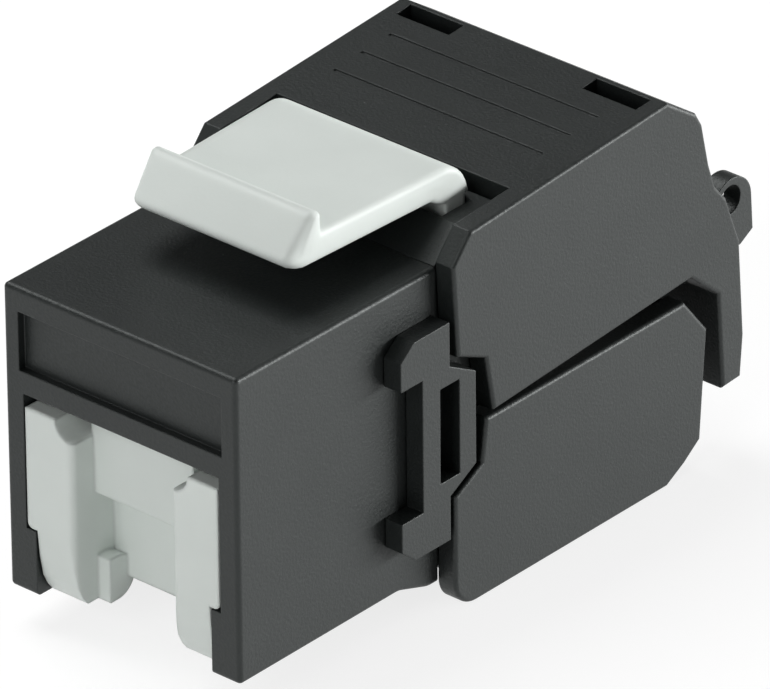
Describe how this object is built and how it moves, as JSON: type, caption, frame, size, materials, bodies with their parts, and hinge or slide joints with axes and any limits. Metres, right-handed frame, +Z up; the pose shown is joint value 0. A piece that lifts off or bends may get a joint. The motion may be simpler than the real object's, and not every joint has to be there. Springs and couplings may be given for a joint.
{
  "type": "keystone jack",
  "caption": "Snap-in modular jack with hinged wiring wings, spring contacts, forked wire terminals, snap latch and removable dust cap.",
  "frame": {"origin": "bottom front edge of the block, at mid width: the edge that enters the panel opening first", "axes": "+X across the jack, +Y from the front face to the cable end, +Z up towards the snap latch"},
  "size_m": [0.0166, 0.0364, 0.0229],
  "materials": {
    "black_plastic": "fine-textured black moulded plastic",
    "grey_plastic": "smooth light grey moulded plastic",
    "inner_plastic": "smooth black moulded plastic",
    "board_laminate": "green solder-masked laminate",
    "contact_metal": "gold-plated spring wire",
    "terminal_metal": "tin-plated stamped metal"
  },
  "bodies": {
    "jack": {"front_housing": "black_plastic", "contact_carrier": "inner_plastic", "circuit_board": "board_laminate", "terminal_carrier": "black_plastic", "spring_contact_1": "contact_metal", "spring_contact_2": "contact_metal", "spring_contact_3": "contact_metal", "spring_contact_4": "contact_metal", "spring_contact_5": "contact_metal", "spring_contact_6": "contact_metal", "spring_contact_7": "contact_metal", "spring_contact_8": "contact_metal", "idc_upper_1": "terminal_metal", "idc_upper_2": "terminal_metal", "idc_upper_3": "terminal_metal", "idc_upper_4": "terminal_metal", "idc_lower_1": "terminal_metal", "idc_lower_2": "terminal_metal", "idc_lower_3": "terminal_metal", "idc_lower_4": "terminal_metal"},
    "upper_flap": {"upper_wing": "black_plastic", "upper_wire_press": "inner_plastic"},
    "lower_flap": {"lower_wing": "black_plastic", "lower_wire_press": "inner_plastic"},
    "latch": {"snap_latch": "grey_plastic"},
    "cap": {"dust_cap": "grey_plastic"}
  },
  "joints": [
    {"name": "upper_wing_hinge", "type": "hinge", "parent": "jack", "child": "upper_flap", "pos_m": [0, 0.0153, 0.0159], "axis": [1, 0, 0], "range_deg": [-3.7, 80]},
    {"name": "lower_wing_hinge", "type": "hinge", "parent": "jack", "child": "lower_flap", "pos_m": [0, 0.0153, 0.0002], "axis": [-1, 0, 0], "range_deg": [0, 80]},
    {"name": "latch_press", "type": "hinge", "parent": "jack", "child": "latch", "pos_m": [0, 0.01755, 0.0152], "axis": [1, 0, 0], "range_deg": [0, 9.5], "stiffness_Nm_per_rad": 0.02},
    {"name": "cap_pull", "type": "slide", "parent": "jack", "child": "cap", "axis": [0, -1, 0], "range_m": [0, 0.012]}
  ]
}
